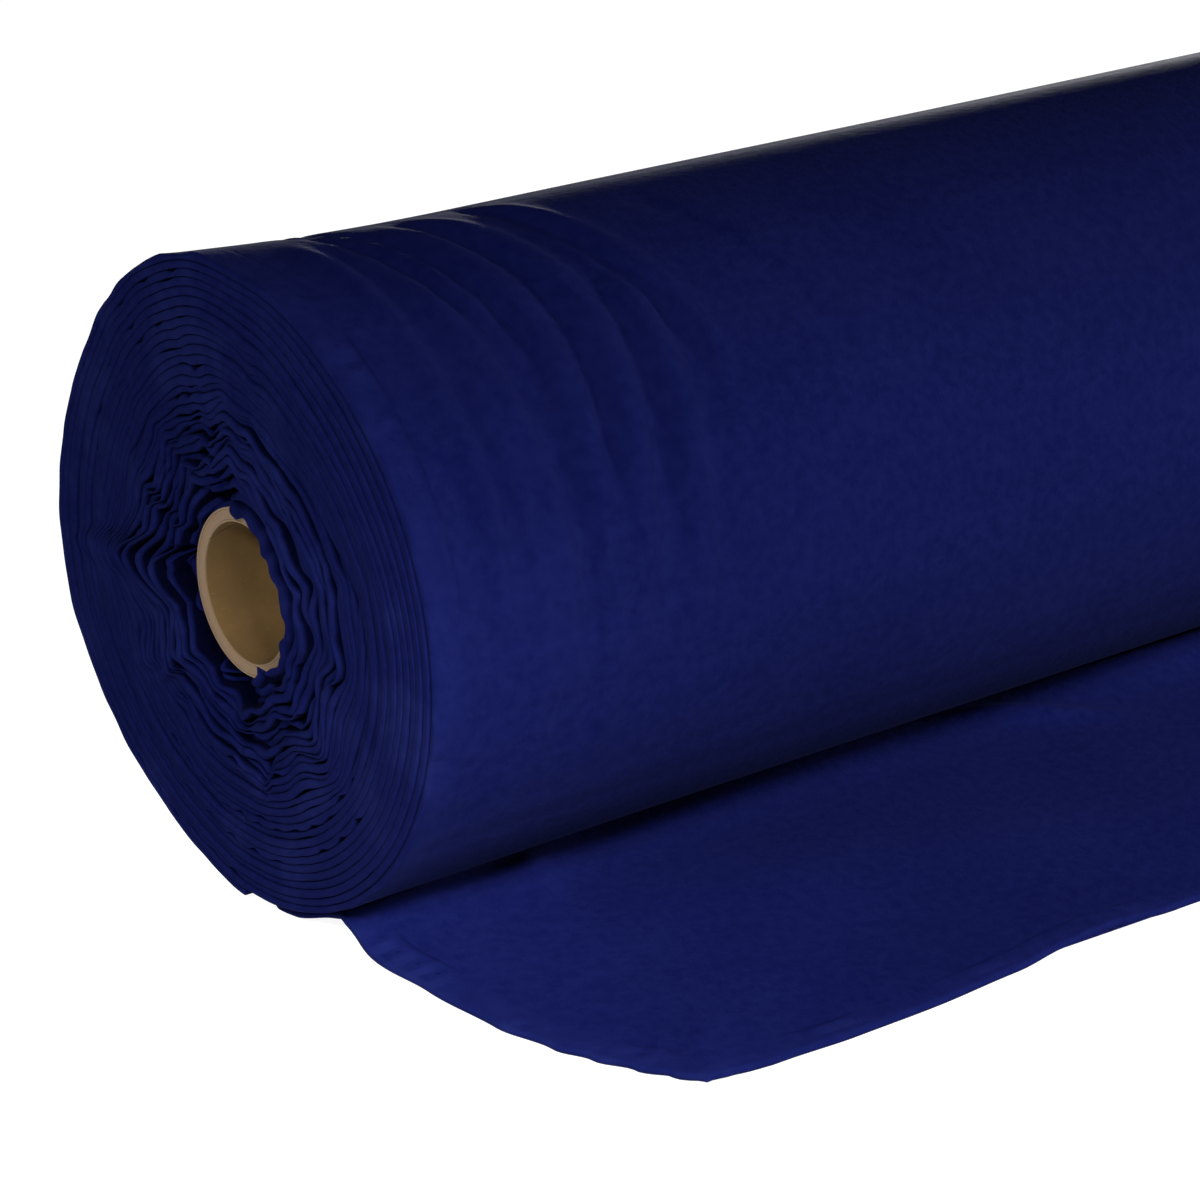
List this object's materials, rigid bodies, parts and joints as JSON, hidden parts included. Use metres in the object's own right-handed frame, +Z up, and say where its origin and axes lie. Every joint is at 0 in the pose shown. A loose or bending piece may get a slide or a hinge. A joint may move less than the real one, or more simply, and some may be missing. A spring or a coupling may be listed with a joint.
{
  "type": "fabric roll",
  "caption": "Roll of fleece cloth wound on a spiral paper tube, lying on its side with the free end of the cloth laid out flat in front.",
  "frame": {"origin": "on the table, at the underside of the laid cloth, straight below the roll's axis and halfway along the cloth's width", "axes": "+X along the roll's axis, away from the end whose free corner is rounded; +Y away from the laid-out free end; +Z up"},
  "size_m": [1.506, 0.286, 0.2048],
  "materials": {
    "navy_fleece": "matte brushed nap",
    "kraft_paperboard": "matte",
    "masking_tape": "matte crepe"
  },
  "bodies": {
    "laid_cloth": {"laid_cloth": "navy_fleece"},
    "roll": {"core_liner": "kraft_paperboard", "core_wall": "kraft_paperboard", "core_wrap": "kraft_paperboard", "start_tape_left": "masking_tape", "start_tape_middle": "masking_tape", "start_tape_right": "masking_tape", "loose_turns": "navy_fleece", "tight_turns": "navy_fleece", "last_turn": "navy_fleece"},
    "free_end": {"free_end": "navy_fleece"}
  },
  "joints": [
    {"name": "roll_turn", "type": "hinge", "parent": "laid_cloth", "child": "roll", "pos_m": [0, 0, 0.1038], "axis": [-1, 0, 0], "continuous": true},
    {"name": "end_lift", "type": "hinge", "parent": "laid_cloth", "child": "free_end", "pos_m": [0, -0.113, 0.0025], "axis": [-1, 0, 0], "range_deg": [0, 90]}
  ]
}
